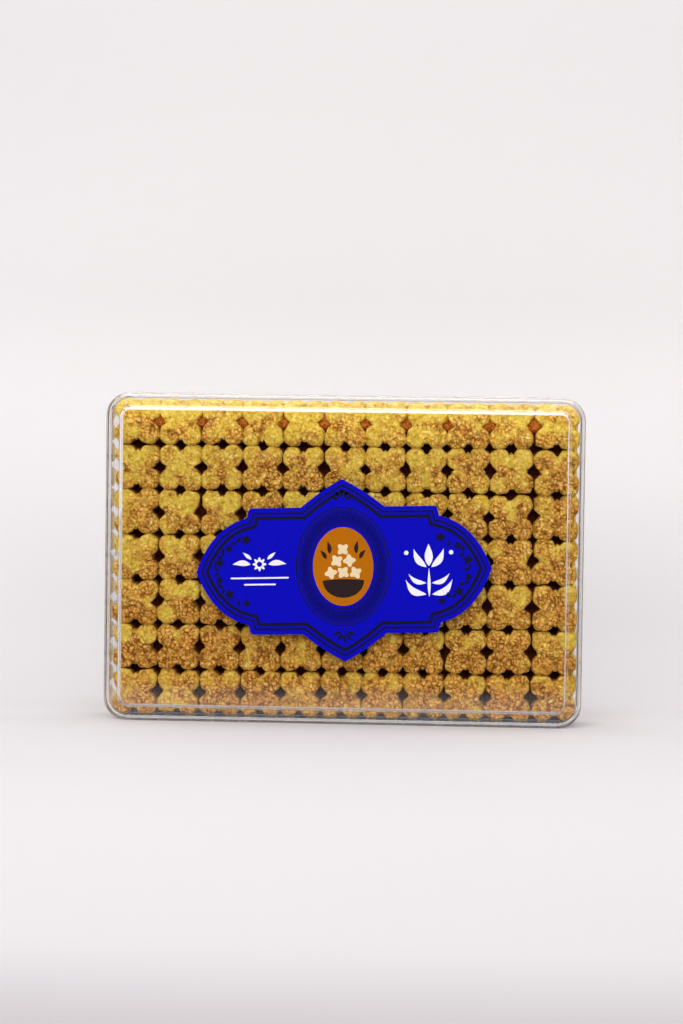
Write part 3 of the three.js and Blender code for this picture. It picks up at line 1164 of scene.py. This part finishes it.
# Room
def make_camera():
    """The photograph's view: a long lens from 1.5 m, a little right of the middle."""
    place = Vector((86.7, -1500, 165.7)) * mm
    yaw, pitch, roll = (math.radians(a) for a in (-3.39, -2.34, 0.78))
    ahead = Vector((math.sin(yaw) * math.cos(pitch), math.cos(yaw) * math.cos(pitch), math.sin(pitch)))
    level = Vector((math.cos(yaw), -math.sin(yaw), 0))
    upright = level.cross(ahead)
    right = math.cos(roll) * level + math.sin(roll) * upright
    up = math.cos(roll) * upright - math.sin(roll) * level
    camera = placed("camera", bpy.data.cameras.new("camera"))
    camera.data.lens = 106.02
    camera.data.sensor_width = 36
    camera.data.clip_end = 20
    camera.matrix_world = Matrix.Translation(place) @ Matrix((right, up, -ahead)).transposed().to_4x4()
    bpy.context.scene.camera = camera


def make_room():
    """A pale paper floor that sweeps up into a wall behind the pack."""
    section = [(floor_near, 0), (veil_start, 0), (floor_end, 0)]
    for turn in np.linspace(0, math.pi / 2, 17)[1:]:
        y = floor_end + wall_sweep * math.sin(turn)
        section.append((y, wall_sweep * (1 - math.cos(turn))))
    section.append((floor_end + wall_sweep, wall_top))
    paper = paper_floor()
    ahead = stage_sheet("floor_ahead", section[:2], stage_half_width, paper)
    ahead.visible_glossy = False
    ahead.visible_transmission = False
    ahead.visible_shadow = False
    stage_sheet("floor", section[1:], stage_half_width, paper)
    under = -0.5 * mm
    veil_section = [(veil_end, under), (veil_start, under)]
    veil = stage_sheet("floor_veil", veil_section, stage_half_width, veil_finish())
    veil.visible_camera = False
    veil.visible_diffuse = False
    veil.visible_shadow = False


def stage_sheet(name, section, half_width, material):
    """A sheet through Y and Z places, as wide as the stage."""
    vertices = [(x, y, z) for y, z in section for x in (-half_width, half_width)]
    faces = [[2 * i, 2 * i + 1, 2 * i + 3, 2 * i + 2] for i in range(len(section) - 1)]
    made = smooth_mesh(name, vertices, faces, material)
    return made


def make_curtain():
    """The dark room behind the camera, which the lid's flat front reflects."""
    finish = Finish("dark_room")
    black = finish.principled(
        Base_Color=(0.004, 0.003, 0.003),
        Roughness=1.0,
        Specular_IOR_Level=0.0,
    )
    made = stage_sheet("dark_room", [(-2.3, -0.9), (-2.3, 0.42)], 1.4, finish.finish(black))
    made.visible_camera = False
    made.visible_diffuse = False
    made.visible_shadow = False


def area_light(name, place, target, size, radiance, tint=(1, 1, 1)):
    """A soft box of that width and height, aimed at the target."""
    light = bpy.data.lights.new(name, "AREA")
    light.shape = "RECTANGLE"
    light.size, light.size_y = size
    light.energy = radiance * math.pi * size[0] * size[1]
    light.color = tint
    made = placed(name, light)
    made.visible_camera = False
    place = Vector(place)
    aim = (Vector(target) - place).to_track_quat("-Z", "Y").to_matrix().to_4x4()
    made.matrix_world = Matrix.Translation(place) @ aim
    return made


def make_light():
    world = bpy.data.worlds.new("room")
    world.use_nodes = True
    background = world.node_tree.nodes["Background"]
    background.inputs["Color"].default_value = (0.97, 0.93, 0.96, 1)
    background.inputs["Strength"].default_value = 0.8
    world.cycles_visibility.diffuse = False
    bpy.context.scene.world = world
    area_light("key", (0, -0.5, 0.8), (0, 0, 0.1), (1.0, 0.4), 2.5)
    area_light("overhead", (0, 0.12, 1.1), (0, 0, 0), (1.4, 0.2), 4.5)
    area_light("front_fill", (-0.1, -1.6, 0.72), (0, 0, 0.04), (1.6, 0.7), 5.2)
    area_light("wall_light", (0, -0.4, 1.4), (0, 0.32, 0.5), (1.6, 0.4), 3.7)
    for side, name in ((-1, "left_fill"), (1, "right_fill")):
        area_light(name, (0.9 * side, -0.1, 0.4), (0, 0, 0.08), (0.8, 0.7), 0.7)
    strip = area_light("top_strip", (0, -0.1, 0.75), (0, 0, 0), (1.6, 1.2), 6.5)
    strip.visible_diffuse = False
    strip.visible_transmission = False


make_camera()
make_room()
make_curtain()
make_light()

make_lid(clear_plastic("lid_plastic", (0.978, 0.968, 0.966)))
tub_plastic = clear_plastic("tub_plastic", (0.975, 0.963, 0.962))
make_tub(tub_plastic)
make_ribs(tub_plastic)
cookie = cookie_finish()
for layer in (0, 1):
    for row in range(rows):
        cookie_row(layer, row, cookie)
make_core(core_finish())
make_label()

scene = bpy.context.scene
scene.view_settings.view_transform = "Standard"
scene.view_settings.look = "None"
scene.cycles.transparent_max_bounces = 40
scene.cycles.transmission_bounces = 32
scene.cycles.max_bounces = 32
